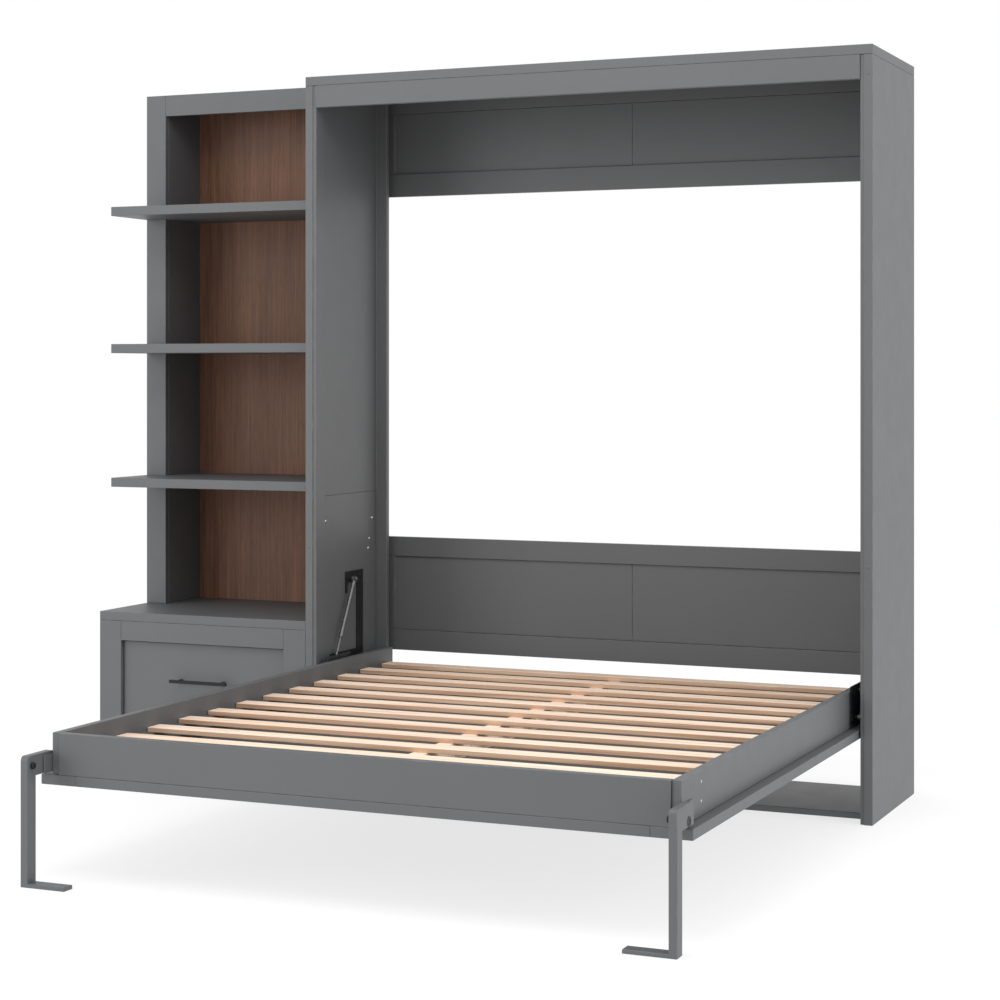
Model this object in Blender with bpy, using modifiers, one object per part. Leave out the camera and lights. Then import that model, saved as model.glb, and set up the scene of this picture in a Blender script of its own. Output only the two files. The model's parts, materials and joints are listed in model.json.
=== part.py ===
"""A queen-size wall bed with a shelf tower, shown open.

Sizes are in metres, in the cabinet's own frame: X = 0 on the main cabinet's centre plane, Y = 0 on
its front with +Y towards the wall, and Z = 0 on the floor. The root empty moves everything so that
the world origin is at the bottom centre of the whole unit. "Right" is +X. Piece sizes leave a gap
of 0.3 mm between boards that touch.
"""

import math

import bmesh
import bpy
from mathutils import Matrix, Vector

GAP = 0.0003
EDGE = 0.0012  # eased edge of a painted board
PAST = 0.010  # how far a cutter runs past what it cuts
JOIN = 0.002  # how far a joined piece reaches into its neighbour

# Main cabinet
HALF_WIDTH = 0.894
HEIGHT = 2.202
DEPTH = 0.548
SLAB = 0.028
BOARD = 0.025
INNER = HALF_WIDTH - BOARD
STRIP_FACE = 0.858  # inner faces of the strips behind the side boards' front edges
LINING_FACE = 0.863
FRONT_STRIP = (0.004, 0.062)
UPRIGHT_FACE = 0.8255  # inner edges of the uprights that frame the wall opening
UPRIGHT = (0.458, 0.478)
MECHANISM_TOP = 0.885
BETWEEN = STRIP_FACE - GAP  # half length of what fits between the front strips
HEADER_BOTTOM = 2.105
HEADER_THICK = 0.022
FLOOR_BOARD = (0.085, 0.515)
FLOOR_BOARD_THICK = 0.018

# Back of the main cabinet
BACK_FRONT = 0.530
PANEL_FRONT = 0.538
BACK_HALF = INNER - GAP
TOP_CLEAT_BOTTOM = 2.135
UPPER_RAIL = (1.860, 1.935)
LOWER_TOP_RAIL = (0.665, 0.729)
LOWER_BOTTOM_RAIL = (0.3528, 0.4206)
PANEL_MARGIN = 0.038

# Tower and base, left of the main cabinet
TOWER_RIGHT = -HALF_WIDTH - GAP
TOWER_LEFT = TOWER_RIGHT - 0.753
TOWER_TOP = 2.210
TOWER_FRONT = 0.298
FRAME_THICK = 0.020
TOWER_STILE = 0.074
TOWER_RAIL = 0.070
TOWER_TOP_THICK = 0.028
TOWER_BOARD = 0.018
TOWER_RIGHT_BOARD = 0.020
TOWER_BACK = (0.530, 0.540)
SHELF_THICK = 0.030
SHELF_FRONT = 0.069
SHELF_TOPS = {"shelf_upper": 1.8216, "shelf_middle": 1.3694, "shelf_lower": 0.9285}
BASE_TOP = 0.4955
BASE_TOP_THICK = 0.0283
BASE_STILE = (0.080, 0.078)  # left and right
BASE_BOARD = 0.018
BASE_BOTTOM = (0.085, 0.100)
DRAWER_OPENING = (0.105, 0.4037)

# Drawer
REVEAL = 0.0025
DRAWER_FRONT = (0.016, 0.032)
DRAWER_BOX_BACK = 0.470
DRAWER_BOX_HEIGHT = (0.112, 0.360)
DRAWER_BOX_SIDE = 0.0073  # from the opening's sides
DRAWER_WALL = 0.012
DRAWER_BOTTOM = 0.008
RUNNER_REACH = 0.015  # how far a runner reaches under the box
HANDLE_HEIGHT = 0.283
HANDLE_HALF = 0.1025
HANDLE_POST = 0.0775
HANDLE_BAR = 0.010
HANDLE_FRONT = -0.024

# Bed, lying open
RAIL = (0.802, 0.824)
RAIL_HEIGHT = (0.2658, 0.371)
RAIL_FOOT = -1.545
RAIL_HEAD = 0.455
CLEAT_INNER = 0.780
CLEAT_BOTTOM = 0.285
FOOT = -1.551
FOOT_RAIL_BACK = -1.529
FACE_HALF = 0.8535
FACE_HEIGHT = (0.240, 0.2655)
FACE_HEAD = 0.447
FACE_STILE = 0.100
FACE_RECESS = 0.006
BATTEN_FRONT = 0.4285
SLAT = (0.313, 0.326)
SLAT_HALF = 0.8005
SLAT_WIDTH = 0.062
SLAT_COUNT = 12
FIRST_SLAT = -1.450
SLAT_PITCH = 0.165
BEAM_HALF = 0.020

# Legs, with outlines measured from the leg's pivot
LEG = (0.8285, 0.8485)
LEG_PIVOT = (-1.565, 0.285)
LEG_FRONT = -0.086
LEG_POST_BACK = -0.048
LEG_PLATE = (-0.012, 0.040)
LEG_PLATE_BACK = 0.035
LEG_STUD = 0.0064
FOOT_BAR = 0.107
FOOT_BAR_THICK = 0.010
BRACKET = (0.8243, 0.8273)
BRACKET_Y = (-1.582, -1.470)
BRACKET_Z = (0.272, 0.318)

# Lift mechanism
PIVOT = (0.1315, 0.3635)
PIN = 0.008
PIN_CLEARANCE = 0.0006
PIVOT_PLATE = (0.8243, 0.8283)
PIVOT_PLATE_Y = (0.020, 0.180)
PIVOT_PLATE_Z = (0.275, 0.385)
LIFT_FRAME = (0.8587, 0.8627)
LIFT_HEAD = (0.220, 0.598, 0.635)  # front end, bottom and top of the bar at the strut
LIFT_HOOK = (0.232, 0.566)  # back and bottom of the tab at that bar's front end
LIFT_POST = (0.302, 0.347)
LIFT_FOOT = (0.110, 0.345, 0.382)  # front end, bottom and top of the bar at the bed's pin
PIN_TIP = 0.8245
STRUT_TOP = (0.250, 0.610)
STRUT_FOOT = (0.0665, 0.2935)
STRUT_X = 0.843
EYE_HALF = 0.0065
EYE_OVERLAP = 0.004  # how near an eye's centre the strut's bars reach
STUD = 0.005
TUBE = 0.0065
TUBE_LENGTH = 0.205
TUBE_EYE = 0.010
BORE = 0.0046
BORE_TOP = 0.045
ROD = 0.004
ROD_TOP = 0.155
ROD_EYE = 0.009

SIDES = 24  # sides of a small round piece
ORIGIN = Vector((-(TOWER_LEFT + HALF_WIDTH) / 2, -(LEG_PIVOT[0] + LEG_FRONT + DEPTH) / 2, 0.0))

COLOURS = {
    "grey_paint": ((0.150, 0.157, 0.162), 0.45, 0.0),
    "walnut": ((0.148, 0.082, 0.056), 0.50, 0.0),
    "pine": ((0.760, 0.590, 0.430), 0.60, 0.0),
    "black_steel": ((0.012, 0.012, 0.013), 0.40, 0.8),
    "bright_steel": ((0.520, 0.520, 0.510), 0.25, 1.0),
}


def clear_scene():
    for obj in list(bpy.data.objects):
        bpy.data.objects.remove(obj, do_unlink=True)


def new_collection(name):
    collection = bpy.data.collections.new(name)
    bpy.context.scene.collection.children.link(collection)
    return collection


def new_material(name):
    colour, roughness, metallic = COLOURS[name]
    material = bpy.data.materials.new(name)
    material.use_nodes = True
    shader = material.node_tree.nodes["Principled BSDF"]
    shader.inputs["Base Color"].default_value = (*colour, 1.0)
    shader.inputs["Roughness"].default_value = roughness
    shader.inputs["Metallic"].default_value = metallic
    return material


clear_scene()
PARTS = new_collection("murphy_wall_bed")
CUTTERS = new_collection("cutters")
MATERIALS = {name: new_material(name) for name in COLOURS}


def settle(obj, parent, place):
    """Parent an object and put it at a place of the cabinet's frame."""
    obj.parent = parent
    obj.location = Vector(place) - Vector(parent["at"]) if parent else Vector(place)


def new_empty(name, place, parent=None):
    """An empty on a joint's axis. Its "at" keeps its place in the cabinet's frame."""
    empty = bpy.data.objects.new(name, None)
    empty["at"] = place
    PARTS.objects.link(empty)
    settle(empty, parent, place)
    return empty


def mesh_object(name, shape, parent, place, paint=None):
    """Make an object of a bmesh. One with no paint is a cutter or a helper."""
    mesh = bpy.data.meshes.new(name)
    bmesh.ops.recalc_face_normals(shape, faces=shape.faces)
    shape.to_mesh(mesh)
    shape.free()
    obj = bpy.data.objects.new(name, mesh)
    if paint:
        PARTS.objects.link(obj)
        mesh.materials.append(MATERIALS[paint])
    else:
        CUTTERS.objects.link(obj)
        obj.hide_render = True
        obj.display_type = "WIRE"
    settle(obj, parent, place)
    return obj


def block(x, y, z):
    """A box from its three ranges, around its own centre, and that centre."""
    size = Vector((x[1] - x[0], y[1] - y[0], z[1] - z[0]))
    shape = bmesh.new()
    bmesh.ops.create_cube(shape, size=1.0)
    bmesh.ops.scale(shape, vec=size, verts=shape.verts)
    return shape, Vector((sum(x) / 2, sum(y) / 2, sum(z) / 2))


def ease_edges(obj, width=EDGE):
    bevel = obj.modifiers.new("eased edges", "BEVEL")
    bevel.width = width
    bevel.segments = 1
    bevel.limit_method = "ANGLE"


def board(name, x, y, z, parent, paint="grey_paint"):
    shape, centre = block(x, y, z)
    return mesh_object(name, shape, parent, centre, paint)


def boolean(obj, helper, operation):
    modifier = obj.modifiers.new(helper.name, "BOOLEAN")
    modifier.operation = operation
    modifier.object = helper


def helper_name(obj, word):
    return f"{obj.name}_{word}_{len(obj.modifiers)}"


def add_box(obj, x, y, z):
    shape, centre = block(x, y, z)
    boolean(obj, mesh_object(helper_name(obj, "added"), shape, obj.parent, centre), "UNION")


def cut_box(obj, x, y, z):
    shape, centre = block(x, y, z)
    boolean(obj, mesh_object(helper_name(obj, "cut"), shape, obj.parent, centre), "DIFFERENCE")


def drum(radius, length, axis="X"):
    """A cylinder around its own centre, along X or Z."""
    shape = bmesh.new()
    bmesh.ops.create_cone(
        shape, cap_ends=True, segments=SIDES, radius1=radius, radius2=radius, depth=length
    )
    if axis == "X":
        turn = Matrix.Rotation(math.pi / 2, 3, "Y")
        bmesh.ops.rotate(shape, matrix=turn, verts=shape.verts)
    return shape


def add_drum(obj, radius, x, centre):
    place = (sum(x) / 2, *centre)
    helper = mesh_object(helper_name(obj, "added"), drum(radius, x[1] - x[0]), obj.parent, place)
    boolean(obj, helper, "UNION")


def cut_drum(obj, radius, x, centre):
    place = (sum(x) / 2, *centre)
    helper = mesh_object(helper_name(obj, "cut"), drum(radius, x[1] - x[0]), obj.parent, place)
    boolean(obj, helper, "DIFFERENCE")


def on_side(side, lo, hi):
    """The X range of a right-hand piece, mirrored when side is -1."""
    return (lo, hi) if side > 0 else (-hi, -lo)


def arc(centre, radius, start, end, steps):
    """Points of an arc between two angles in degrees, measured from +Y towards +Z."""
    points = []
    for index in range(steps + 1):
        angle = math.radians(start + (end - start) * index / steps)
        points.append((centre[0] + radius * math.cos(angle), centre[1] + radius * math.sin(angle)))
    return points


def plate(name, outline, x, pivot, parent, paint):
    """A flat plate across X, from an outline of (y, z) points around a pivot."""
    curve = bpy.data.curves.new(name, "CURVE")
    curve.dimensions = "2D"
    curve.fill_mode = "BOTH"
    curve.extrude = (x[1] - x[0]) / 2
    spline = curve.splines.new("POLY")
    spline.points.add(len(outline) - 1)
    for point, (y, z) in zip(spline.points, outline):
        point.co = (y, z, 0.0, 1.0)
    spline.use_cyclic_u = True
    drawn = bpy.data.objects.new(name + "_outline", curve)
    CUTTERS.objects.link(drawn)
    bpy.context.view_layer.update()
    graph = bpy.context.evaluated_depsgraph_get()
    mesh = bpy.data.meshes.new_from_object(drawn.evaluated_get(graph))
    bpy.data.objects.remove(drawn, do_unlink=True)
    shape = bmesh.new()
    shape.from_mesh(mesh)
    bpy.data.meshes.remove(mesh)
    bmesh.ops.remove_doubles(shape, verts=shape.verts, dist=0.00001)
    to_side_view = Matrix(((0, 0, 1), (1, 0, 0), (0, 1, 0)))
    bmesh.ops.rotate(shape, matrix=to_side_view, verts=shape.verts)
    return mesh_object(name, shape, parent, (sum(x) / 2, *pivot), paint)


def build_side(side, word, root):
    top = HEIGHT - SLAB - GAP
    glue = INNER + JOIN
    panel = board(
        f"{word}_side_panel", on_side(side, INNER, HALF_WIDTH), (0, DEPTH), (0, top), root
    )
    add_box(panel, on_side(side, STRIP_FACE, glue), FRONT_STRIP, (0, top))
    upright_height = (FLOOR_BOARD_THICK + GAP, top)
    add_box(panel, on_side(side, UPRIGHT_FACE, glue), UPRIGHT, upright_height)
    lining = on_side(side, LINING_FACE, glue)
    lining_depth = (FRONT_STRIP[1] - JOIN, UPRIGHT[0] + JOIN)
    add_box(panel, lining, lining_depth, (MECHANISM_TOP + GAP, top))
    board(
        f"{word}_mechanism_board",
        on_side(side, LINING_FACE, INNER - GAP),
        (FRONT_STRIP[1] + GAP, UPRIGHT[0] - GAP),
        (0, MECHANISM_TOP),
        root,
    )


def build_top_and_floor(root):
    """The top, with the cleat glued under its rear edge, and the boards between the sides."""
    slab_bottom = HEIGHT - SLAB
    slab = board("top_slab", (-HALF_WIDTH, HALF_WIDTH), (0, DEPTH), (slab_bottom, HEIGHT), root)
    cleat_height = (TOP_CLEAT_BOTTOM, slab_bottom + JOIN)
    add_box(slab, (-BACK_HALF, BACK_HALF), (BACK_FRONT, DEPTH), cleat_height)
    across = (-BETWEEN, BETWEEN)
    header = (HEADER_BOTTOM, slab_bottom - GAP)
    ease_edges(board("header_rail", across, (0, HEADER_THICK), header, root))
    ease_edges(board("floor_board", across, FLOOR_BOARD, (0, FLOOR_BOARD_THICK), root))


def build_back(root):
    across = (-BACK_HALF, BACK_HALF)
    rails = {
        "upper_back_rail": UPPER_RAIL,
        "lower_back_top_rail": LOWER_TOP_RAIL,
        "lower_back_bottom_rail": LOWER_BOTTOM_RAIL,
    }
    for name, height in rails.items():
        ease_edges(board(name, across, (BACK_FRONT, DEPTH), height, root))
    panels = {
        "upper_back_panel": (UPPER_RAIL[1] + GAP, TOP_CLEAT_BOTTOM - GAP),
        "lower_back_panel": (LOWER_BOTTOM_RAIL[1] + GAP, LOWER_TOP_RAIL[0] - GAP),
    }
    for side, word in ((1, "right"), (-1, "left")):
        for name, height in panels.items():
            x = on_side(side, GAP / 2, BACK_HALF)
            panel = board(f"{name}_{word}", x, (PANEL_FRONT, DEPTH), height, root)
            margin = on_side(side, BACK_HALF - PANEL_MARGIN, BACK_HALF)
            add_box(panel, margin, (BACK_FRONT, DEPTH), height)


def build_tower(root):
    full = (TOWER_LEFT, TOWER_RIGHT)
    frame_back = TOWER_FRONT + FRAME_THICK
    behind = (frame_back + GAP, DEPTH)
    bottom = BASE_TOP + GAP
    case_top = TOWER_TOP - TOWER_TOP_THICK
    height = (bottom, case_top - GAP)
    inner_left = TOWER_LEFT + TOWER_STILE
    inner_right = TOWER_RIGHT - TOWER_RIGHT_BOARD
    column = board("tower_left_side", (TOWER_LEFT, inner_left), behind, height, root)
    cut_box(
        column,
        (TOWER_LEFT + TOWER_BOARD, inner_left - TOWER_BOARD),
        (behind[0] - PAST, DEPTH - TOWER_BOARD),
        (height[0] - PAST, height[1] + PAST),
    )
    board("tower_right_side", (inner_right, TOWER_RIGHT), behind, height, root)
    ease_edges(board("tower_top", full, behind, (case_top, TOWER_TOP), root))
    frame = board(
        "tower_face_frame", full, (TOWER_FRONT, frame_back), (bottom, TOWER_TOP), root
    )
    cut_box(
        frame,
        (inner_left, TOWER_RIGHT - TOWER_STILE),
        (TOWER_FRONT - PAST, frame_back + PAST),
        (bottom - PAST, TOWER_TOP - TOWER_RAIL),
    )
    board(
        "tower_back", (inner_left + GAP, inner_right - GAP), TOWER_BACK, height, root, "walnut"
    )


def build_shelves(root):
    tongue = (TOWER_LEFT + TOWER_STILE + 0.0005, TOWER_RIGHT - TOWER_STILE - GAP)
    front_back = TOWER_FRONT - GAP
    for name, top in SHELF_TOPS.items():
        height = (top - SHELF_THICK, top)
        front = (SHELF_FRONT, front_back)
        shelf = board(name, (TOWER_LEFT, TOWER_RIGHT), front, height, root)
        add_box(shelf, tongue, (front_back - PAST, TOWER_BACK[0] - GAP), height)


def drawer_opening():
    return (TOWER_LEFT + BASE_STILE[0], TOWER_RIGHT - BASE_STILE[1])


def build_base(root):
    full = (TOWER_LEFT, TOWER_RIGHT)
    top = BASE_TOP - BASE_TOP_THICK
    behind = FRAME_THICK + GAP
    ease_edges(board("base_top", full, (0, DEPTH), (top, BASE_TOP), root))
    opening = drawer_opening()
    box = (opening[0] + DRAWER_BOX_SIDE, opening[1] - DRAWER_BOX_SIDE)
    height = (0, top - GAP)
    runner_height = (BASE_BOTTOM[1] + GAP, DRAWER_BOX_HEIGHT[0] - 0.0005)
    runner_depth = (DRAWER_FRONT[1] + GAP, DRAWER_BOX_BACK)  # behind the drawer's front
    left = (TOWER_LEFT, TOWER_LEFT + BASE_BOARD)
    right = (TOWER_RIGHT - BASE_BOARD, TOWER_RIGHT)
    left_side = board("base_left_side", left, (behind, DEPTH), height, root)
    add_box(left_side, (left[1] - JOIN, box[0] + RUNNER_REACH), runner_depth, runner_height)
    right_side = board("base_right_side", right, (behind, DEPTH), height, root)
    add_box(right_side, (box[1] - RUNNER_REACH, right[0] + JOIN), runner_depth, runner_height)
    frame = board("base_face_frame", full, (0, FRAME_THICK), height, root)
    cut_box(frame, opening, (-PAST, FRAME_THICK + PAST), DRAWER_OPENING)
    inside = (left[1] + GAP, right[0] - GAP)
    back = (BACK_FRONT, DEPTH)
    board("base_bottom", inside, (behind, back[0] - GAP), BASE_BOTTOM, root)
    board("base_back", inside, back, height, root)


def build_drawer(root):
    opening = drawer_opening()
    middle = sum(opening) / 2
    slide = new_empty("drawer_slide", (middle, 0, DRAWER_OPENING[0]), root)
    ease_edges(
        board(
            "drawer_front",
            (opening[0] + REVEAL, opening[1] - REVEAL),
            DRAWER_FRONT,
            (DRAWER_OPENING[0] + REVEAL, DRAWER_OPENING[1] - REVEAL),
            slide,
        )
    )
    x = (opening[0] + DRAWER_BOX_SIDE, opening[1] - DRAWER_BOX_SIDE)
    y = (DRAWER_FRONT[1] + GAP, DRAWER_BOX_BACK)
    z = DRAWER_BOX_HEIGHT
    box = board("drawer_box", x, y, z, slide, "pine")
    cut_box(
        box,
        (x[0] + DRAWER_WALL, x[1] - DRAWER_WALL),
        (y[0] + DRAWER_WALL, y[1] - DRAWER_WALL),
        (z[0] + DRAWER_BOTTOM, z[1] + PAST),
    )
    centre = (TOWER_LEFT + TOWER_RIGHT) / 2
    half_bar = HANDLE_BAR / 2
    bar_height = (HANDLE_HEIGHT - half_bar, HANDLE_HEIGHT + half_bar)
    bar_depth = (HANDLE_FRONT, HANDLE_FRONT + HANDLE_BAR)
    bar = (centre - HANDLE_HALF, centre + HANDLE_HALF)
    handle = board("drawer_handle", bar, bar_depth, bar_height, slide, "black_steel")
    post = 0.004
    for x in (centre - HANDLE_POST, centre + HANDLE_POST):
        add_box(
            handle,
            (x - post, x + post),
            (bar_depth[1] - JOIN, DRAWER_FRONT[0] - GAP),
            (HANDLE_HEIGHT - post, HANDLE_HEIGHT + post),
        )


def build_bed_frame(bed):
    cleat_top = SLAT[0] - GAP
    for side, word in ((1, "right"), (-1, "left")):
        name = f"{word}_side_rail"
        rail = board(name, on_side(side, *RAIL), (RAIL_FOOT, RAIL_HEAD), RAIL_HEIGHT, bed)
        cleat = on_side(side, CLEAT_INNER, RAIL[0] + JOIN)
        cleat_depth = (FOOT_RAIL_BACK + GAP, BATTEN_FRONT - GAP)
        add_box(rail, cleat, cleat_depth, (CLEAT_BOTTOM, cleat_top))
    inside = RAIL[0] - GAP
    ease_edges(board("foot_rail", (-inside, inside), (FOOT, FOOT_RAIL_BACK), RAIL_HEIGHT, bed))
    beam_depth = (FOOT_RAIL_BACK + GAP, BATTEN_FRONT - GAP)
    beam_height = (RAIL_HEIGHT[0], cleat_top)
    board("centre_beam", (-BEAM_HALF, BEAM_HALF), beam_depth, beam_height, bed, "pine")
    for index in range(SLAT_COUNT):
        front = FIRST_SLAT + index * SLAT_PITCH
        slat = board(
            f"slat_{index + 1:02d}",
            (-SLAT_HALF, SLAT_HALF),
            (front, front + SLAT_WIDTH),
            SLAT,
            bed,
            "pine",
        )
        ease_edges(slat)


def build_face_panel(bed):
    """The panel under the bed, the closed unit's front, with the batten across its head end."""
    panel = board("face_panel", (-FACE_HALF, FACE_HALF), (FOOT, FACE_HEAD), FACE_HEIGHT, bed)
    inside = RAIL[0] - GAP
    batten_height = (FACE_HEIGHT[1] - JOIN, SLAT[0] - GAP)
    add_box(panel, (-inside, inside), (BATTEN_FRONT, FACE_HEAD), batten_height)
    half_stile = FACE_STILE / 2
    recess_depth = (FOOT + FACE_STILE, FACE_HEAD - FACE_STILE)
    recess_height = (FACE_HEIGHT[0] - PAST, FACE_HEIGHT[0] + FACE_RECESS)
    for side in (1, -1):
        recess = on_side(side, half_stile, FACE_HALF - FACE_STILE)
        cut_box(panel, recess, recess_depth, recess_height)


def leg_outline():
    """A head plate with rounded corners, and a post down to the floor from its front."""
    floor = -LEG_PIVOT[1]
    bottom, top = LEG_PLATE
    front_round = 0.012
    back_round = 0.010
    return [
        (LEG_FRONT, floor),
        (LEG_POST_BACK, floor),
        (LEG_POST_BACK, bottom),
        (LEG_PLATE_BACK, bottom),
        *arc((LEG_PLATE_BACK - back_round, top - back_round), back_round, 0, 90, 3),
        *arc((LEG_FRONT + front_round, top - front_round), front_round, 90, 180, 4),
    ]


def build_leg(side, word, bed):
    middle = side * sum(LEG) / 2
    pivot = new_empty(f"{word}_leg_pivot", (middle, *LEG_PIVOT), bed)
    x = on_side(side, *LEG)
    leg = plate(f"{word}_leg", leg_outline(), x, LEG_PIVOT, pivot, "grey_paint")
    hole = on_side(side, LEG[0] - PAST, LEG[1] + PAST)
    cut_drum(leg, LEG_STUD + PIN_CLEARANCE, hole, LEG_PIVOT)
    bar = on_side(side, LEG[0] - FOOT_BAR, LEG[0] + JOIN)
    depth = (LEG_PIVOT[0] + LEG_FRONT, LEG_PIVOT[0] + LEG_POST_BACK)
    add_box(leg, bar, depth, (0, FOOT_BAR_THICK))
    name = f"{word}_leg_bracket"
    bracket = board(name, on_side(side, *BRACKET), BRACKET_Y, BRACKET_Z, bed)
    stud = on_side(side, BRACKET[1] - JOIN / 2, LEG[1] - JOIN)
    add_drum(bracket, LEG_STUD, stud, LEG_PIVOT)


def build_lift_frame(side, word, root):
    """A steel plate cut as a C: a bar at the strut's top, a post, and a bar to the bed's pin."""
    head_front, head_bottom, head_top = LIFT_HEAD
    hook_back, hook_bottom = LIFT_HOOK
    post_front, post_back = LIFT_POST
    foot_front, foot_bottom, foot_top = LIFT_FOOT
    outline = [
        (foot_front, foot_bottom),
        (post_back, foot_bottom),
        (post_back, head_top),
        (head_front, head_top),
        (head_front, hook_bottom),
        (hook_back, hook_bottom),
        (hook_back, head_bottom),
        (post_front, head_bottom),
        (post_front, foot_top),
        (foot_front, foot_top),
    ]
    x = on_side(side, *LIFT_FRAME)
    frame = plate(f"{word}_lift_frame", outline, x, (0.0, 0.0), root, "black_steel")
    inside = LIFT_FRAME[0] + JOIN / 2
    add_drum(frame, PIN, on_side(side, PIN_TIP, inside), PIVOT)
    stud = on_side(side, STRUT_X + EYE_HALF + GAP, inside)
    add_drum(frame, STUD, stud, STRUT_TOP)


def build_pivot_plate(side, word, bed):
    name = f"{word}_pivot_plate"
    x = on_side(side, *PIVOT_PLATE)
    holder = board(name, x, PIVOT_PLATE_Y, PIVOT_PLATE_Z, bed, "black_steel")
    hole = on_side(side, PIVOT_PLATE[0] - PAST, PIVOT_PLATE[1] + PAST)
    cut_drum(holder, PIN + PIN_CLEARANCE, hole, PIVOT)
    stud = on_side(side, PIVOT_PLATE[1] - JOIN / 2, STRUT_X - EYE_HALF - GAP)
    add_drum(holder, STUD, stud, STRUT_FOOT)


def along_strut(radius, start, end):
    """A round bar on the strut's axis, between two distances below its top pin."""
    shape = drum(radius, end - start, "Z")
    bmesh.ops.translate(shape, vec=(0, 0, -(start + end) / 2), verts=shape.verts)
    return shape


def strut_boolean(obj, shape, operation):
    helper = mesh_object(helper_name(obj, "strut"), shape, obj.parent, obj.parent["at"])
    boolean(obj, helper, operation)


def build_strut(side, word, root):
    """A telescopic stay, longest with the bed open: a tube on the cabinet, a rod on the bed."""
    reach = math.dist(STRUT_TOP, STRUT_FOOT)
    lean = math.atan2(STRUT_TOP[0] - STRUT_FOOT[0], STRUT_TOP[1] - STRUT_FOOT[1])
    top = (side * STRUT_X, *STRUT_TOP)
    pivot = new_empty(f"{word}_strut_pivot", top, root)
    pivot.rotation_euler = (-lean, 0, 0)
    tube_shape = along_strut(TUBE, EYE_OVERLAP, TUBE_LENGTH)
    tube = mesh_object(f"{word}_strut_tube", tube_shape, pivot, top, "bright_steel")
    strut_boolean(tube, drum(TUBE_EYE, 2 * EYE_HALF), "UNION")
    strut_boolean(tube, along_strut(BORE, BORE_TOP, TUBE_LENGTH + PAST), "DIFFERENCE")
    rod_shape = along_strut(ROD, ROD_TOP, reach - EYE_OVERLAP)
    rod = mesh_object(f"{word}_strut_rod", rod_shape, pivot, top, "bright_steel")
    eye = drum(ROD_EYE, 2 * EYE_HALF)
    bmesh.ops.translate(eye, vec=(0, 0, -reach), verts=eye.verts)
    strut_boolean(rod, eye, "UNION")


def build():
    root = new_empty("wall_unit", (0, 0, 0))
    root.location = ORIGIN
    build_top_and_floor(root)
    build_back(root)
    build_tower(root)
    build_shelves(root)
    build_base(root)
    build_drawer(root)
    bed = new_empty("bed_pivot", (0, *PIVOT), root)
    build_bed_frame(bed)
    build_face_panel(bed)
    for side, word in ((1, "right"), (-1, "left")):
        build_side(side, word, root)
        build_leg(side, word, bed)
        build_lift_frame(side, word, root)
        build_pivot_plate(side, word, bed)
        build_strut(side, word, root)


build()
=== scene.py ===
"""The looks of the wall bed: finished boards, fasteners, materials, light and camera.

Places are written in the main cabinet's own frame, in metres: X = 0 on its centre plane, Y = 0 on
its front, Z = 0 on the floor. at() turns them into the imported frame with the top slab's box.
"""

import json
import math

import bmesh
import bpy
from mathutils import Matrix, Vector


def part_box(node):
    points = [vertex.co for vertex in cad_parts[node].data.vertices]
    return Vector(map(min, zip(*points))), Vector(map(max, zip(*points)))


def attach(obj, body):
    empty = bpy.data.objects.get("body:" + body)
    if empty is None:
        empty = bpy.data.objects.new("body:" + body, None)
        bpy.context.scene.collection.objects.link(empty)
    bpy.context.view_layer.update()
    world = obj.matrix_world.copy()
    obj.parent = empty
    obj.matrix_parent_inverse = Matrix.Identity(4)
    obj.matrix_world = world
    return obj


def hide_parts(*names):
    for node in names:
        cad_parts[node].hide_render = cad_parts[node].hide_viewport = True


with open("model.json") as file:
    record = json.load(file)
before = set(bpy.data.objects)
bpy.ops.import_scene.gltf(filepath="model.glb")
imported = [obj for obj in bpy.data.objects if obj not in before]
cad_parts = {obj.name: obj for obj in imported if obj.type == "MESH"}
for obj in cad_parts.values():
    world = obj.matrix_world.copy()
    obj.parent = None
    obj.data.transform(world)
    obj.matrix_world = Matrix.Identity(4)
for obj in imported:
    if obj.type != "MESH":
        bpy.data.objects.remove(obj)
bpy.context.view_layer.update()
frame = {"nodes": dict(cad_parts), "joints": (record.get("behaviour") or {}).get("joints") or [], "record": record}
RECORD = frame["record"]
NODES = frame["nodes"]
BODY_OF = {
    node: body for body, nodes in RECORD["behaviour"]["bodies"].items() for node in nodes
}
SLOT_OF = {part["node"]: part["material_slot"] for part in RECORD["subparts"]}

SLAB_LOW, SLAB_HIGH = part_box("top_slab")
CENTRE = Vector(((SLAB_LOW.x + SLAB_HIGH.x) / 2, SLAB_LOW.y, 0.0))

# Radius of the eased edges of each finish
EDGE_RADIUS = {
    "grey_paint": 0.0016,
    "walnut": 0.0004,
    "pine": 0.0016,
    "black_steel": 0.0007,
    "bright_steel": 0.0005,
}
EDGE_SEGMENTS = 3
BOARD_THICK = 0.025  # a side board, without its strips
LIFT_PLATE = 0.004
PIVOT_PLATE = 0.0043  # from the rail's face to the plate's outer face
BRACKET_PLATE = 0.0033
LEG_THICK = 0.020
TUBE_LENGTH = 0.2055  # from the strut's top pin to its mouth, with a hair's gap
EYE_HALF = 0.0065
EYE_RADIUS = 0.009
CORNER_REACH = 0.0015  # a plain board's corners are chamfered by less than this
WELD = 0.00002
HAIRLINE = 0.0001  # between the boards of a frame, so that each keeps its own edges
CREASE = math.radians(38)  # a sharper edge stays crisp in the shading
ROUNDED_FROM = math.radians(30)  # a sharper edge is rounded
FLAT_WITHIN = math.radians(1)
SHADED_SIDE_FACE = 0.8  # a slat's narrow face gets the pine with painted shade where its normal is this far along Y
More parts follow.
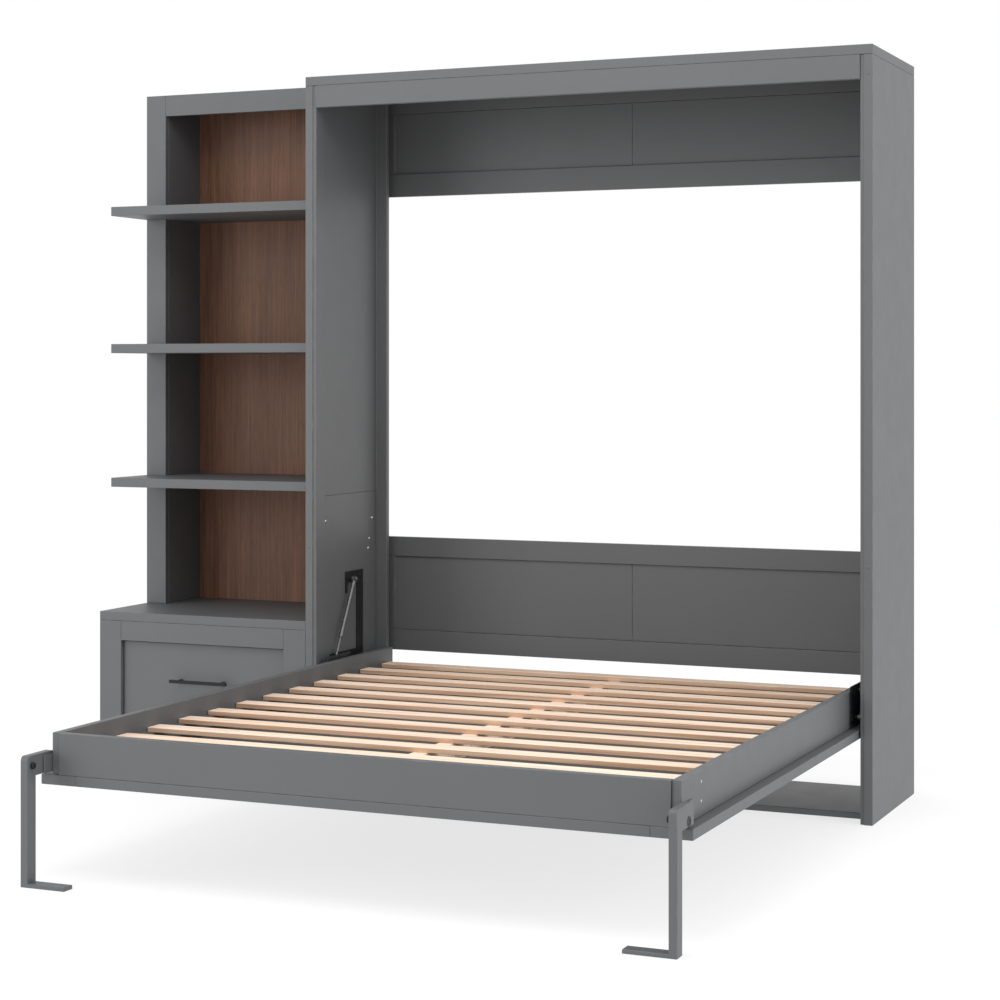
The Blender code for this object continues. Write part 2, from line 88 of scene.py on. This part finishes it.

# Fasteners, as (y, z) on the faces that they sit in, and the caps' heights on the front edges
BOARD_BOLTS = ((0.079, 0.805), (0.424, 0.797), (0.403, 0.730), (0.396, 0.699))
EDGE_CAPS = (2.120, 0.728)
LIFT_BOLTS = ((0.231, 0.6165), (0.3245, 0.6165), (0.3245, 0.480), (0.3245, 0.3635), (0.200, 0.3635))
PLATE_BOLTS = ((0.035, 0.368), (0.035, 0.290), (0.165, 0.290), (0.165, 0.368))
BRACKET_BOLTS = ((-1.503, 0.306), (-1.482, 0.284))
RAIL_SCREWS = ((-1.395, 0.345), (-1.395, 0.300))
KNOB_BACK = 0.020  # behind the leg's front edge
KNOB_HEIGHT = 0.300

CAMERA_PLACE = (2.3931, -6.4842, 1.2798)
CAMERA_YAW = math.radians(24.672)
LENS = 83.40
SENSOR = 36.0
SHIFT = (0.1052, -0.1288)

FLOOR_REACH = 40.0
FLOOR_DROP = 0.0005  # keeps the floor clear of the feet that stand on it
FLOOR_GLOW = 0.735
# Softboxes: name, place, size, watts and the point that each one faces
SOFTBOXES = (
    ("right_softbox", (6.0, -1.2, 2.6), 3.0, 100.0, (0, 0, 1.0)),
    ("front_softbox", (-5.0, -6.0, 2.0), 3.5, 130.0, (-1.0, 0, 1.0)),
    ("top_softbox", (0.0, -2.6, 3.6), 2.0, 45.0, (0, -1.4, 0)),
)


def at(x, y, z):
    """A place in the cabinet's own frame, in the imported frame."""
    return CENTRE + Vector((x, y, z))


# Materials


def add_node(tree, kind, settings=None, inputs=None):
    """A shader node. An input is a value, or a socket to link."""
    made = tree.nodes.new(kind)
    for key, value in (settings or {}).items():
        setattr(made, key, value)
    for key, value in (inputs or {}).items():
        if isinstance(value, bpy.types.NodeSocket):
            tree.links.new(value, made.inputs[key])
        else:
            made.inputs[key].default_value = value
    return made


def noise(tree, stretch, detail=4.0, distortion=0.0):
    """Noise in the object's own coordinates, stretched along each axis."""
    place = add_node(tree, "ShaderNodeTexCoord").outputs["Object"]
    mapping = add_node(tree, "ShaderNodeMapping", inputs={"Vector": place, "Scale": stretch})
    texture = add_node(
        tree,
        "ShaderNodeTexNoise",
        inputs={
            "Vector": mapping.outputs["Vector"],
            "Scale": 1.0,
            "Detail": detail,
            "Distortion": distortion,
        },
    )
    return texture.outputs["Fac"]


def ramp(tree, value, *stops):
    """A colour ramp from (position, colour) stops."""
    made = add_node(tree, "ShaderNodeValToRGB", inputs={"Fac": value})
    elements = made.color_ramp.elements
    while len(elements) < len(stops):
        elements.new(0.5)
    for element, (position, colour) in zip(elements, stops):
        element.position = position
        element.color = (*colour, 1.0)
    return made.outputs["Color"]


def spread(tree, value, low, high):
    """The value's middle range, spread between two numbers."""
    inputs = {"Value": value, "From Min": 0.3, "From Max": 0.7, "To Min": low, "To Max": high}
    return add_node(tree, "ShaderNodeMapRange", inputs=inputs).outputs["Result"]


def blend(tree, factor, first, second, mode="MIX"):
    mix = add_node(
        tree, "ShaderNodeMixRGB", {"blend_type": mode}, {"Fac": factor, "Color1": first}
    )
    if isinstance(second, bpy.types.NodeSocket):
        tree.links.new(second, mix.inputs["Color2"])
    else:
        mix.inputs["Color2"].default_value = (*second, 1.0)
    return mix.outputs["Color"]


def bump(tree, height, distance, strength=0.5, under=None):
    inputs = {"Height": height, "Distance": distance, "Strength": strength}
    if under:
        inputs["Normal"] = under
    return add_node(tree, "ShaderNodeBump", inputs=inputs).outputs["Normal"]


def new_material(name, metallic=0.0, specular=0.5):
    material = bpy.data.materials.new(name)
    material.use_nodes = True
    shader = material.node_tree.nodes["Principled BSDF"]
    shader.inputs["Metallic"].default_value = metallic
    shader.inputs["Specular IOR Level"].default_value = specular
    return material, material.node_tree, shader


def finish(tree, shader, colour, roughness, normal):
    tree.links.new(colour, shader.inputs["Base Color"])
    tree.links.new(roughness, shader.inputs["Roughness"])
    tree.links.new(normal, shader.inputs["Normal"])


def worn_edges(tree, colour, worn, amount):
    """Patches of a lighter colour along the eased edges only."""
    edge = add_node(tree, "ShaderNodeAttribute", {"attribute_name": "edge_wear"}).outputs["Fac"]
    patches = add_node(
        tree,
        "ShaderNodeMapRange",
        inputs={
            "Value": noise(tree, (22.0, 22.0, 22.0), 5.0),
            "From Min": 0.45,
            "From Max": 0.75,
            "To Min": 0.0,
            "To Max": amount,
        },
    ).outputs["Result"]
    factor = add_node(tree, "ShaderNodeMath", {"operation": "MULTIPLY"}, {0: edge, 1: patches})
    return blend(tree, factor.outputs[0], colour, worn)


def paint_material():
    """Satin grey paint, rolled on board: faint mottling, orange peel and rubbed edges."""
    material, tree, shader = new_material("satin_grey_paint", specular=0.4)
    mottling = noise(tree, (3.0, 3.0, 3.0), 5.0)
    colour = ramp(tree, mottling, (0.30, (0.106, 0.109, 0.113)), (0.70, (0.109, 0.113, 0.117)))
    speckle = noise(tree, (900.0, 900.0, 900.0), 2.0)
    tint = ramp(tree, speckle, (0.35, (0.93, 0.93, 0.93)), (0.65, (1.0, 1.0, 1.0)))
    colour = blend(tree, 1.0, colour, tint, "MULTIPLY")
    colour = worn_edges(tree, colour, (0.200, 0.206, 0.212), 0.45)
    roughness = spread(tree, noise(tree, (14.0, 14.0, 14.0), 4.0), 0.47, 0.51)
    peel = bump(tree, noise(tree, (420.0, 420.0, 420.0), 3.0), 0.0003, 0.35)
    finish(tree, shader, colour, roughness, bump(tree, mottling, 0.0004, 0.03, peel))
    return material


def walnut_material():
    """Walnut veneer with upright grain: broad figure, fine streaks and dark pores."""
    material, tree, shader = new_material("walnut_veneer", specular=0.25)
    figure = noise(tree, (9.0, 9.0, 0.9), 5.0, 0.8)
    streaks = noise(tree, (150.0, 150.0, 3.2), 6.0, 0.25)
    pores = noise(tree, (620.0, 620.0, 22.0), 2.0)
    colour = ramp(
        tree,
        streaks,
        (0.28, (0.118, 0.057, 0.036)),
        (0.50, (0.170, 0.088, 0.055)),
        (0.74, (0.226, 0.124, 0.080)),
    )
    shade = ramp(tree, figure, (0.30, (0.84, 0.80, 0.77)), (0.70, (1.20, 1.14, 1.08)))
    colour = blend(tree, 1.0, colour, shade, "MULTIPLY")
    dark = ramp(tree, pores, (0.36, (0.70, 0.67, 0.65)), (0.46, (1.0, 1.0, 1.0)))
    colour = blend(tree, 0.7, colour, dark, "MULTIPLY")
    roughness = spread(tree, streaks, 0.44, 0.60)
    finish(tree, shader, colour, roughness, bump(tree, pores, 0.0003, 0.4))
    return material


def pine_material(name, dark, middle, light):
    """Planed softwood with its grain along X. Each slat has its own tint, by its place along Y."""
    material, tree, shader = new_material(name, specular=0.3)
    grain = noise(tree, (2.2, 75.0, 75.0), 5.0, 0.9)
    fibres = noise(tree, (14.0, 900.0, 900.0), 2.0)
    colour = ramp(tree, grain, (0.30, dark), (0.50, middle), (0.70, light))
    board_tint = noise(tree, (0.5, 5.7, 0.2), 1.0)
    tint = ramp(tree, board_tint, (0.35, (0.95, 0.92, 0.89)), (0.65, (1.0, 1.0, 1.0)))
    colour = blend(tree, 1.0, colour, tint, "MULTIPLY")
    shade = ramp(tree, fibres, (0.35, (0.93, 0.92, 0.90)), (0.60, (1.0, 1.0, 1.0)))
    colour = blend(tree, 1.0, colour, shade, "MULTIPLY")
    roughness = spread(tree, grain, 0.55, 0.70)
    finish(tree, shader, colour, roughness, bump(tree, fibres, 0.0002, 0.35))
    return material


def black_steel_material():
    """Black powder coat: fine grain, and bare metal just showing along edges."""
    material, tree, shader = new_material("black_powder_coat", specular=0.2)
    grain = noise(tree, (1400.0, 1400.0, 1400.0), 3.0)
    colour = ramp(tree, grain, (0.35, (0.008, 0.008, 0.009)), (0.65, (0.020, 0.020, 0.021)))
    colour = worn_edges(tree, colour, (0.120, 0.120, 0.125), 0.5)
    roughness = spread(tree, noise(tree, (60.0, 60.0, 60.0), 3.0), 0.34, 0.48)
    finish(tree, shader, colour, roughness, bump(tree, grain, 0.0001, 0.4))
    return material


def bright_steel_material(name, dull, bright, smooth, rough):
    """Plated steel, with fine scratches and a dull bloom in patches."""
    material, tree, shader = new_material(name, metallic=1.0)
    scratches = noise(tree, (2200.0, 260.0, 60.0), 3.0)
    bloom = noise(tree, (45.0, 45.0, 45.0), 4.0)
    colour = ramp(tree, bloom, (0.35, dull), (0.65, bright))
    roughness = spread(tree, bloom, smooth, rough)
    finish(tree, shader, colour, roughness, bump(tree, scratches, 0.00002, 0.2))
    return material


PINE_FACE = ((0.740, 0.520, 0.385), (0.920, 0.730, 0.585), (0.975, 0.835, 0.705))
# The slats' narrow upright faces: the same pine, darkened as painted shade
PINE_SHADE_COLOURS = ((0.480, 0.290, 0.185), (0.620, 0.405, 0.275), (0.730, 0.520, 0.370))
ZINC = ((0.46, 0.46, 0.45), (0.62, 0.62, 0.61))
STRUT_GREY = ((0.15, 0.15, 0.15), (0.20, 0.20, 0.20))
MATERIALS = {
    "grey_paint": paint_material(),
    "walnut": walnut_material(),
    "pine": pine_material("planed_pine", *PINE_FACE),
    # a darker copy of the pine: painted shade for the slats' narrow sides
    "pine_side_shade": pine_material("pine_with_painted_shade", *PINE_SHADE_COLOURS),
    "black_steel": black_steel_material(),
    "bright_steel": bright_steel_material("zinc_plate", *ZINC, 0.20, 0.36),
    "strut_steel": bright_steel_material("strut_plate", *STRUT_GREY, 0.42, 0.55),
}


# Pieces


def place_piece(name, shape, body, slot):
    """Make a piece of a bmesh: smooth over its curves, crisp at its edges, riding on a body."""
    bmesh.ops.recalc_face_normals(shape, faces=shape.faces)
    mesh = bpy.data.meshes.new(name)
    shape.to_mesh(mesh)
    shape.free()
    mesh.shade_smooth()
    mesh.set_sharp_from_angle(angle=CREASE)
    mesh.materials.append(MATERIALS[slot])
    piece = bpy.data.objects.new(name, mesh)
    bpy.context.scene.collection.objects.link(piece)
    normals = piece.modifiers.new("flat faces stay flat", "WEIGHTED_NORMAL")
    normals.keep_sharp = True
    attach(piece, body)
    return piece


def round_edges(shape, radius):
    """Round every edge sharper than 30 degrees, and mark the rounding for edge wear."""
    wear = shape.faces.layers.float.new("edge_wear")
    sharp = [
        edge
        for edge in shape.edges
        if len(edge.link_faces) == 2 and edge.calc_face_angle() > ROUNDED_FROM
    ]
    rounded = bmesh.ops.bevel(
        shape,
        geom=sharp,
        offset=radius,
        segments=EDGE_SEGMENTS,
        profile=0.5,
        affect="EDGES",
        clamp_overlap=True,
    )
    for face in rounded["faces"]:
        face[wear] = 1.0


def add_block(shape, low, high):
    made = bmesh.ops.create_cube(shape, size=1.0)
    bmesh.ops.scale(shape, vec=high - low, verts=made["verts"])
    bmesh.ops.translate(shape, vec=(low + high) / 2, verts=made["verts"])


def is_plain_board(node):
    """Whether a node is a box, apart from its eased edges."""
    low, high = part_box(node)
    for vertex in NODES[node].data.vertices:
        for axis in range(3):
            place = vertex.co[axis]
            if min(place - low[axis], high[axis] - place) > CORNER_REACH:
                return False
    return True


def show_finished(node, shape):
    """Round a shape's edges and show it in the place of its CAD node."""
    slot = SLOT_OF[node]
    round_edges(shape, EDGE_RADIUS[slot])
    piece = place_piece(f"{node}_finish", shape, BODY_OF[node], slot)
    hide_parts(node)
    return piece


def finished_node(node):
    """A copy of a CAD node with rounded edges, shown in its place."""
    shape = bmesh.new()
    if is_plain_board(node):
        add_block(shape, *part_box(node))
    else:
        shape.from_mesh(NODES[node].data)
        bmesh.ops.remove_doubles(shape, verts=shape.verts, dist=WELD)
        bmesh.ops.dissolve_limit(
            shape, angle_limit=FLAT_WITHIN, verts=shape.verts, edges=shape.edges
        )
    return show_finished(node, shape)


def levels(node, axis):
    """The distinct coordinates of a node's corners along an axis, in order."""
    found = []
    for value in sorted(vertex.co[axis] for vertex in NODES[node].data.vertices):
        if not found or value - found[-1] > CORNER_REACH:
            found.append(value)
    return found


def finished_frame(node, has_bottom_rail):
    """A face frame as its real stiles and rails, whose rounded edges draw the joints."""
    x = levels(node, 0)
    z = levels(node, 2)
    low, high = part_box(node)
    columns = [(x[0], x[1], z[0], z[-1]), (x[2], x[3], z[0], z[-1])]
    rails = [(x[1] + HAIRLINE, x[2] - HAIRLINE, z[-2], z[-1])]
    if has_bottom_rail:
        rails.append((x[1] + HAIRLINE, x[2] - HAIRLINE, z[0], z[1]))
    shape = bmesh.new()
    for x_low, x_high, z_low, z_high in columns + rails:
        add_block(shape, Vector((x_low, low.y, z_low)), Vector((x_high, high.y, z_high)))
    show_finished(node, shape)


def finished_face_panel(node):
    """The closed unit's front as stiles, rails and two sunk panels, with the batten on its back."""
    x = levels(node, 0)
    y = levels(node, 1)
    z = levels(node, 2)
    left, stile_left, middle_left, middle_right, stile_right, right = (
        x[0], x[2], x[3], x[4], x[5], x[7]
    )
    foot, rail_foot, rail_head, batten, head = y
    bottom, sunk, back, top = z
    rail_low, rail_high = stile_left + HAIRLINE, stile_right - HAIRLINE
    panel_foot, panel_head = rail_foot + HAIRLINE, rail_head - HAIRLINE
    blocks = [
        ((left, foot, bottom), (stile_left, head, back)),
        ((stile_right, foot, bottom), (right, head, back)),
        ((rail_low, foot, bottom), (rail_high, rail_foot, back)),
        ((rail_low, rail_head, bottom), (rail_high, head, back)),
        ((middle_left, panel_foot, bottom), (middle_right, panel_head, back)),
        ((rail_low, panel_foot, sunk), (middle_left - HAIRLINE, panel_head, back)),
        ((middle_right + HAIRLINE, panel_foot, sunk), (rail_high, panel_head, back)),
        ((x[1], batten, back + HAIRLINE), (x[6], head, top)),
    ]
    shape = bmesh.new()
    for low, high in blocks:
        add_block(shape, Vector(low), Vector(high))
    show_finished(node, shape)


def show_painted_side_shade(piece):
    """Give a slat's long narrow faces the darker copy of the pine, whose darkness is painted shade."""
    piece.data.materials.append(MATERIALS["pine_side_shade"])
    for face in piece.data.polygons:
        if abs(face.normal.y) > SHADED_SIDE_FACE:
            face.material_index = 1


def paint_strut(piece):
    """Give a strut's piece the darker plate, where its slot would look like new zinc."""
    piece.data.materials[0] = MATERIALS["strut_steel"]


def turned(shape, profile, base, direction, steps=24, lobes=0, lobe_depth=0.0):
    """Add a turned piece: a profile of (radius, height) points, spun about a direction."""
    made = bmesh.new()
    points = [made.verts.new((radius, 0.0, height)) for radius, height in profile]
    edges = [made.edges.new(pair) for pair in zip(points, points[1:])]
    bmesh.ops.spin(
        made,
        geom=points + edges,
        cent=(0, 0, 0),
        axis=(0, 0, 1),
        angle=math.tau,
        steps=steps,
        use_merge=True,
    )
    bmesh.ops.remove_doubles(made, verts=made.verts, dist=0.000001)
    if lobes:
        widest = max(radius for radius, _ in profile)
        for vertex in made.verts:
            reach = math.hypot(vertex.co.x, vertex.co.y)
            if reach > 0.9 * widest:
                turn = math.atan2(vertex.co.y, vertex.co.x)
                factor = 1 - lobe_depth * (1 - math.cos(lobes * turn)) / 2
                vertex.co.x *= factor
                vertex.co.y *= factor
    turn = Vector(direction).to_track_quat("Z", "Y").to_matrix()
    bmesh.ops.rotate(made, matrix=turn, verts=made.verts)
    bmesh.ops.translate(made, vec=base, verts=made.verts)
    mesh = bpy.data.meshes.new("turned")
    made.to_mesh(mesh)
    made.free()
    shape.from_mesh(mesh)
    bpy.data.meshes.remove(mesh)


def button_head(radius, height, socket):
    """A domed bolt head with a socket in its crown."""
    profile = [(0.0, height * 0.35), (socket, height * 0.35), (socket, height * 0.98)]
    for index in range(6):
        angle = math.radians(75 - index * 15)
        profile.append((radius * math.cos(angle) ** 0.8, height * math.sin(angle)))
    profile += [(radius, 0.0), (0.0, 0.0)]
    return profile


def ring(inner, outer, height):
    return [(inner, 0.0), (outer, 0.0), (outer, height), (inner, height), (inner, 0.0)]


BOLT = button_head(0.0058, 0.0028, 0.0022)
SMALL_SCREW = button_head(0.0040, 0.0012, 0.0013)
CAP = [
    (0.0, 0.0010),
    (0.0032, 0.0010),
    (0.0048, 0.0007),
    (0.0055, 0.0),
    (0.0, 0.0),
]
KNOB = [
    (0.0, 0.0088),
    (0.0062, 0.0088),
    (0.0080, 0.0078),
    (0.0088, 0.0060),
    (0.0088, 0.0026),
    (0.0060, 0.0020),
    (0.0060, 0.0),
    (0.0, 0.0),
]
COLLAR = [
    (0.0044, 0.0),
    (0.0060, 0.0),
    (0.0074, 0.0020),
    (0.0074, 0.0130),
    (0.0068, 0.0150),
    (0.0068, 0.0151),
    (0.0066, 0.0151),
    (0.0066, 0.0006),
    (0.0044, 0.0006),
    (0.0044, 0.0),
]
NUT = [(0.0, 0.0035), (0.0046, 0.0035), (0.0058, 0.0024), (0.0058, 0.0), (0.0, 0.0)]
PIN_WASHER = ring(0.0090, 0.0145, 0.0014)
LEG_WASHER = ring(0.0078, 0.0125, 0.0010)


def fasteners(name, profile, bases, direction, body, slot, **options):
    """Identical fasteners on one body, as one piece."""
    shape = bmesh.new()
    for base in bases:
        turned(shape, profile, base, direction, **options)
    shape.faces.layers.float.new("edge_wear")
    return place_piece(name, shape, body, slot)


def face_x(node, side, outer):
    """The X of a node's outer or inner face, in the cabinet's frame."""
    low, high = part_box(node)
    right_face = (side > 0) == outer
    return (high.x if right_face else low.x) - CENTRE.x


def joint_named(name):
    return next(joint for joint in frame["joints"] if joint["name"] == name)


def add_fasteners(side, word):
    """Caps, bolts, screws and the pivot's washer on one side of the bed and cabinet."""
    inward = (-side, 0, 0)
    outward = (side, 0, 0)
    edge_middle = face_x(f"{word}_side_panel", side, True) - side * BOARD_THICK / 2
    fasteners(
        f"{word}_screw_caps",
        CAP,
        [at(edge_middle, 0, z) for z in EDGE_CAPS],
        (0, -1, 0),
        "cabinet",
        "grey_paint",
    )
    x = face_x(f"{word}_mechanism_board", side, False)
    fasteners(
        f"{word}_board_bolts",
        BOLT,
        [at(x, y, z) for y, z in BOARD_BOLTS],
        inward,
        "cabinet",
        "bright_steel",
    )
    x = face_x(f"{word}_lift_frame", side, True) - side * LIFT_PLATE
    fasteners(
        f"{word}_lift_bolts",
        BOLT,
        [at(x, y, z) for y, z in LIFT_BOLTS],
        inward,
        "cabinet",
        "black_steel",
    )
    rail_face = face_x(f"{word}_side_rail", side, True)
    x = rail_face + side * PIVOT_PLATE
    fasteners(
        f"{word}_plate_bolts",
        BOLT,
        [at(x, y, z) for y, z in PLATE_BOLTS],
        outward,
        "bed",
        "black_steel",
    )
    _, pivot_y, pivot_z = joint_named("bed_fold")["pos_m"]
    washer = Vector((at(x, 0, 0).x, pivot_y, pivot_z))
    fasteners(f"{word}_pivot_washer", PIN_WASHER, [washer], outward, "bed", "bright_steel")
    x = rail_face + side * BRACKET_PLATE
    fasteners(
        f"{word}_bracket_bolts",
        SMALL_SCREW,
        [at(x, y, z) for y, z in BRACKET_BOLTS],
        outward,
        "bed",
        "bright_steel",
    )
    fasteners(
        f"{word}_rail_screws",
        SMALL_SCREW,
        [at(rail_face, y, z) for y, z in RAIL_SCREWS],
        outward,
        "bed",
        "bright_steel",
    )


def add_leg_fittings(side, word):
    """The knob on the leg's inner face, and the washer round its pivot."""
    _, pivot_y, pivot_z = joint_named(f"{word}_leg_fold")["pos_m"]
    low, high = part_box(f"{word}_leg")
    outer = high.x if side > 0 else low.x
    inner = outer - side * LEG_THICK
    body = f"{word}_leg_body"
    knob = Vector((inner, low.y + KNOB_BACK, KNOB_HEIGHT))
    fasteners(
        f"{word}_leg_knob",
        KNOB,
        [knob],
        (-side, 0, 0),
        body,
        "black_steel",
        steps=72,
        lobes=12,
        lobe_depth=0.08,
    )
    washer = Vector((outer, pivot_y, pivot_z))
    fasteners(
        f"{word}_leg_washer", LEG_WASHER, [washer], (side, 0, 0), body, "black_steel"
    )


def add_strut_fittings(side, word):
    """The guide collar at the tube's mouth, and the nuts that hold the strut's two eyes."""
    top = Vector(joint_named(f"{word}_strut_swing")["pos_m"])
    axis = Vector(joint_named(f"{word}_strut_slide")["axis"]).normalized()
    mouth = top - axis * TUBE_LENGTH
    tube_body = f"{word}_tube_body"
    paint_strut(
        fasteners(
            f"{word}_strut_collar", COLLAR, [mouth], tuple(axis), tube_body, "bright_steel"
        )
    )
    inner_face = top - Vector((side * EYE_HALF, 0, 0))
    paint_strut(
        fasteners(
            f"{word}_strut_top_nut",
            NUT,
            [inner_face],
            (-side, 0, 0),
            tube_body,
            "bright_steel",
            steps=6,
        )
    )
    rod_low, rod_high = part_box(f"{word}_strut_rod")
    middle = (rod_low.x + rod_high.x) / 2
    foot = Vector((middle, rod_low.y + EYE_RADIUS, rod_low.z + EYE_RADIUS))
    outer_face = foot + Vector((side * EYE_HALF, 0, 0))
    fasteners(
        f"{word}_strut_foot_nut",
        NUT,
        [outer_face],
        (side, 0, 0),
        f"{word}_rod_body",
        "bright_steel",
        steps=6,
    )


def build_pieces():
    for node in NODES:
        if node == "tower_face_frame":
            finished_frame(node, has_bottom_rail=False)
        elif node == "base_face_frame":
            finished_frame(node, has_bottom_rail=True)
        elif node == "face_panel":
            finished_face_panel(node)
        else:
            piece = finished_node(node)
            if node.startswith("slat_"):
                # the slats' narrow sides get the pine with painted shade
                show_painted_side_shade(piece)
            if "_strut_" in node:
                paint_strut(piece)
    for side, word in ((1, "right"), (-1, "left")):
        add_fasteners(side, word)
        add_leg_fittings(side, word)
        add_strut_fittings(side, word)


# Studio


def floor_material():
    """A pale floor with a glow of its own, as of a lit light table, so that shadows stay soft."""
    material, tree, shader = new_material("pale_floor", specular=0.0)
    shader.inputs["Emission Color"].default_value = (1.0, 1.0, 1.0, 1.0)
    shader.inputs["Emission Strength"].default_value = FLOOR_GLOW
    cloud = noise(tree, (0.6, 0.6, 0.6), 3.0)
    colour = ramp(tree, cloud, (0.3, (0.26, 0.26, 0.26)), (0.7, (0.28, 0.28, 0.28)))
    grain = noise(tree, (260.0, 260.0, 260.0), 2.0)
    roughness = spread(tree, grain, 0.75, 0.85)
    finish(tree, shader, colour, roughness, bump(tree, grain, 0.0002, 0.1))
    return material


def build_studio():
    """A large pale floor under a white sky, lit by the softboxes."""
    shape = bmesh.new()
    bmesh.ops.create_grid(shape, x_segments=4, y_segments=4, size=FLOOR_REACH)
    mesh = bpy.data.meshes.new("studio_floor")
    shape.to_mesh(mesh)
    shape.free()
    mesh.materials.append(floor_material())
    floor = bpy.data.objects.new("studio_floor", mesh)
    floor.location.z = -FLOOR_DROP
    bpy.context.scene.collection.objects.link(floor)
    world = bpy.data.worlds.new("studio")
    world.use_nodes = True
    world.node_tree.nodes["Background"].inputs["Color"].default_value = (1.0, 1.0, 1.0, 1.0)
    world.node_tree.nodes["Background"].inputs["Strength"].default_value = 1.0
    bpy.context.scene.world = world
    bpy.context.scene.view_settings.view_transform = "Standard"
    for softbox in SOFTBOXES:
        add_softbox(*softbox)


def add_softbox(name, place, size, power, aim):
    """A square area light at a place, turned to face the aim."""
    light = bpy.data.lights.new(name, "AREA")
    light.size = size
    light.energy = power
    lamp = bpy.data.objects.new(name, light)
    lamp.location = at(*place)
    lamp.rotation_euler = (at(*aim) - lamp.location).to_track_quat("-Z", "Y").to_euler()
    bpy.context.scene.collection.objects.link(lamp)


def build_camera():
    """A level camera, shifted so that upright edges stay upright in the picture."""
    data = bpy.data.cameras.new("camera")
    data.lens = LENS
    data.sensor_width = SENSOR
    data.shift_x, data.shift_y = SHIFT
    data.clip_end = 200.0
    camera = bpy.data.objects.new("camera", data)
    camera.location = at(*CAMERA_PLACE)
    camera.rotation_euler = (math.radians(90), 0, CAMERA_YAW)
    bpy.context.scene.collection.objects.link(camera)
    bpy.context.scene.camera = camera


build_camera()
build_pieces()
build_studio()
